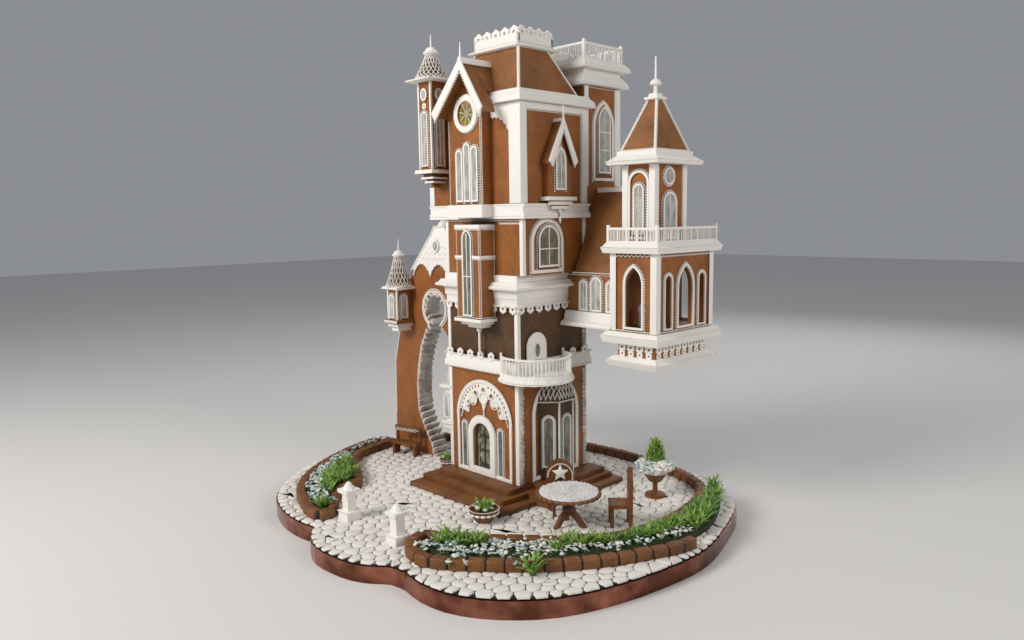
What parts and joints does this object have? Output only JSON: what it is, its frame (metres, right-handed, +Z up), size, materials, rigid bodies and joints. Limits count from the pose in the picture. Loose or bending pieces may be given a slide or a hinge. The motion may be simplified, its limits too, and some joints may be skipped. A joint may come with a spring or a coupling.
{
  "type": "gingerbread house",
  "caption": "Tall ornate gingerbread tower house with white icing trims, standing with its garden, paving and furniture on a lobed copper-edged board.",
  "frame": {"origin": "centre of the board's box, at the board's underside", "axes": "+Z up; the door front faces -Y and the bay front faces +X"},
  "size_m": [0.601, 0.508, 0.6026],
  "materials": {
    "gingerbread": "baked crust, slightly rough, mottled",
    "dark_gingerbread": "dark baked crust, rough",
    "icing": "dried royal icing, satin",
    "cobble": "iced cobbles, matt",
    "leaf": "piped and pressed sugar leaves, matt",
    "fresh_leaf": "fresh green sugar leaves, satin",
    "copper": "crinkled copper-coloured foil"
  },
  "bodies": {
    "root": {"board": "copper", "paving": "cobble", "arch_lining": "cobble", "step_low": "dark_gingerbread", "step_mid": "dark_gingerbread", "step_top": "dark_gingerbread", "bay": "dark_gingerbread", "second_storey": "dark_gingerbread", "planter_left": "dark_gingerbread", "ring_wall": "dark_gingerbread", "planter_front": "dark_gingerbread", "table": "dark_gingerbread", "side_chair": "dark_gingerbread", "ground_storey": "gingerbread", "mid_storey": "gingerbread", "mid_oriel": "gingerbread", "upper_storey": "gingerbread", "gable_bay": "gingerbread", "gable_roof": "gingerbread", "corner_turret": "gingerbread", "dormer": "gingerbread", "dormer_roof": "gingerbread", "mansard": "gingerbread", "rear_tower": "gingerbread", "wing": "gingerbread", "wing_roof": "gingerbread", "pavilion_room": "gingerbread", "pavilion_upper": "gingerbread", "pavilion_roof": "gingerbread", "arch_wall": "gingerbread", "arch_turret": "gingerbread", "star_chair": "gingerbread", "bench": "gingerbread", "urn": "gingerbread", "lace_arch": "icing", "door_frame": "icing", "bay_roof": "icing", "balcony_band": "icing", "balcony": "icing", "mid_cornice": "icing", "upper_band": "icing", "corner_turret_roof": "icing", "upper_cornice": "icing", "crest": "icing", "rear_tower_cornice": "icing", "rear_tower_deck": "icing", "wing_base": "icing", "pavilion_base": "icing", "pavilion_deck": "icing", "pavilion_eaves": "icing", "arch_lace": "icing", "arch_turret_roof": "icing", "side_turret": "icing", "gatepost_left": "icing", "gatepost_right": "icing", "bed_left": "leaf", "bed_front": "leaf", "pot_front": "leaf", "pot_side": "leaf", "urn_plant": "fresh_leaf"}
  },
  "joints": []
}
